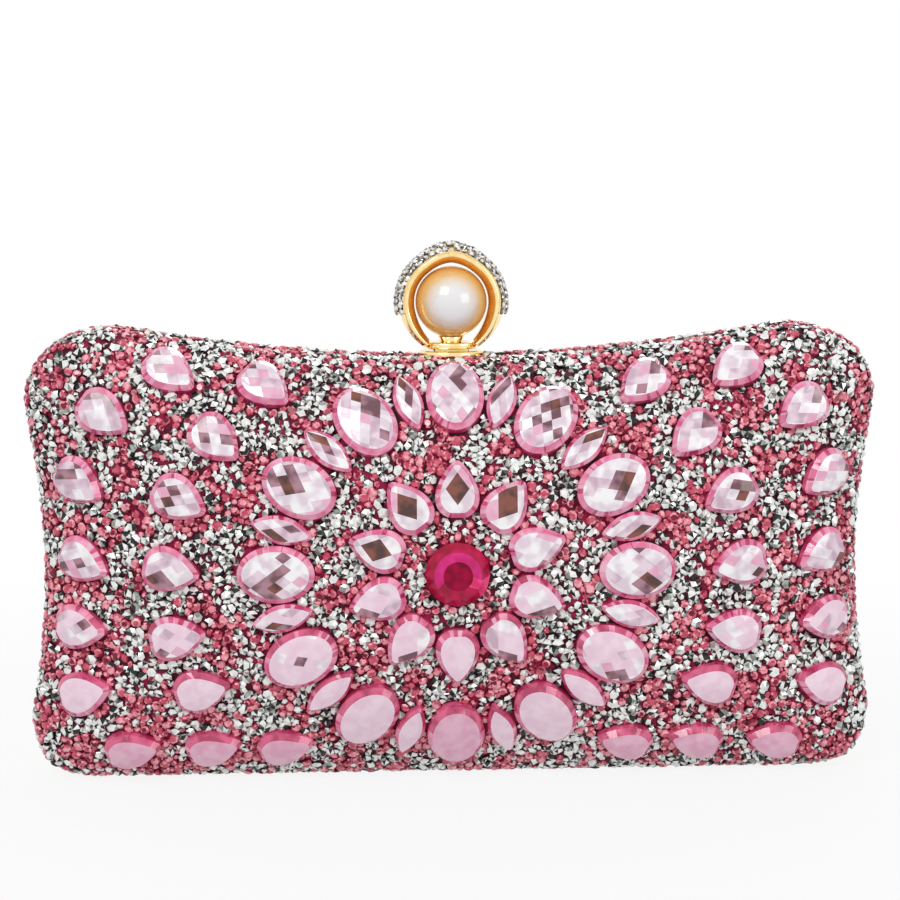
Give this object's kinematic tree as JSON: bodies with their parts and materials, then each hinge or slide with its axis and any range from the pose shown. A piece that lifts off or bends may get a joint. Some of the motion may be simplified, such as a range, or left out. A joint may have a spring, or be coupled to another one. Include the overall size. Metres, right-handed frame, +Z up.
{
  "type": "evening clutch",
  "caption": "Hard box evening clutch in two halves on bottom hinges, crusted with small stones round a gem rosette, with a tipping ring and pearl clasp on top.",
  "frame": {"origin": "middle of the footprint, on the surface that the clutch stands on", "axes": "+Z up, the stone rosette faces -Y, +X to the right seen from the front"},
  "size_m": [0.2006, 0.0543, 0.1275],
  "materials": {
    "crystal_crust": "small silver and rose cut stones set close together in dark crimson glue",
    "pink_glass": "foil-backed pale pink cut glass stone with a checkered domed top",
    "ruby_glass": "foil-backed dark ruby pink round cut glass stone",
    "clear_crystal": "rows of small clear cut stones",
    "gold": "polished gold plate",
    "pin_steel": "fine brushed steel",
    "shell_metal": "pressed sheet metal, hidden under the stones",
    "lining_satin": "wine red satin on card",
    "pearl_nacre": "imitation pearl, soft white with a satin gloss"
  },
  "bodies": {
    "rear_half": {"rear_shell": "shell_metal", "rear_crystal_crust": "crystal_crust", "rear_frame": "gold", "rear_lining": "lining_satin", "hinge_left_rear_leaf": "gold", "hinge_right_rear_leaf": "gold", "hinge_left_pin": "pin_steel", "hinge_right_pin": "pin_steel", "clasp_collar": "gold", "clasp_pivot_pin": "pin_steel", "clasp_leaf_spring": "pin_steel"},
    "front_half": {"front_shell": "shell_metal", "front_crystal_crust": "crystal_crust", "front_frame": "gold", "front_lining": "lining_satin", "hinge_left_front_leaf": "gold", "hinge_right_front_leaf": "gold", "clasp_catch_plate": "pin_steel", "centre_stone": "ruby_glass", "petal_stone_01": "pink_glass", "petal_stone_02": "pink_glass", "petal_stone_03": "pink_glass", "petal_stone_04": "pink_glass", "petal_stone_05": "pink_glass", "petal_stone_06": "pink_glass", "petal_stone_07": "pink_glass", "petal_stone_08": "pink_glass", "petal_stone_09": "pink_glass", "petal_stone_10": "pink_glass", "oval_stone_01": "pink_glass", "oval_stone_02": "pink_glass", "oval_stone_03": "pink_glass", "oval_stone_04": "pink_glass", "oval_stone_05": "pink_glass", "oval_stone_06": "pink_glass", "oval_stone_07": "pink_glass", "oval_stone_08": "pink_glass", "oval_stone_09": "pink_glass", "oval_stone_10": "pink_glass", "oval_stone_11": "pink_glass", "oval_stone_12": "pink_glass"},
    "clasp_lever": {"clasp_lever": "gold", "clasp_ring": "gold", "ring_crystals_left": "clear_crystal", "ring_crystals_right": "clear_crystal", "pearl": "pearl_nacre", "pearl_cup": "gold", "pearl_peg": "gold"}
  },
  "joints": [
    {"name": "front_half_hinge", "type": "hinge", "parent": "rear_half", "child": "front_half", "pos_m": [0, 0.00165, 0.00125], "axis": [1, 0, 0], "range_deg": [0, 75]},
    {"name": "clasp_lever_tilt", "type": "hinge", "parent": "rear_half", "child": "clasp_lever", "pos_m": [0, 0.00465, 0.1003], "axis": [-1, 0, 0], "range_deg": [0, 12], "stiffness_Nm_per_rad": 0.05, "springref_deg": -17.19}
  ]
}
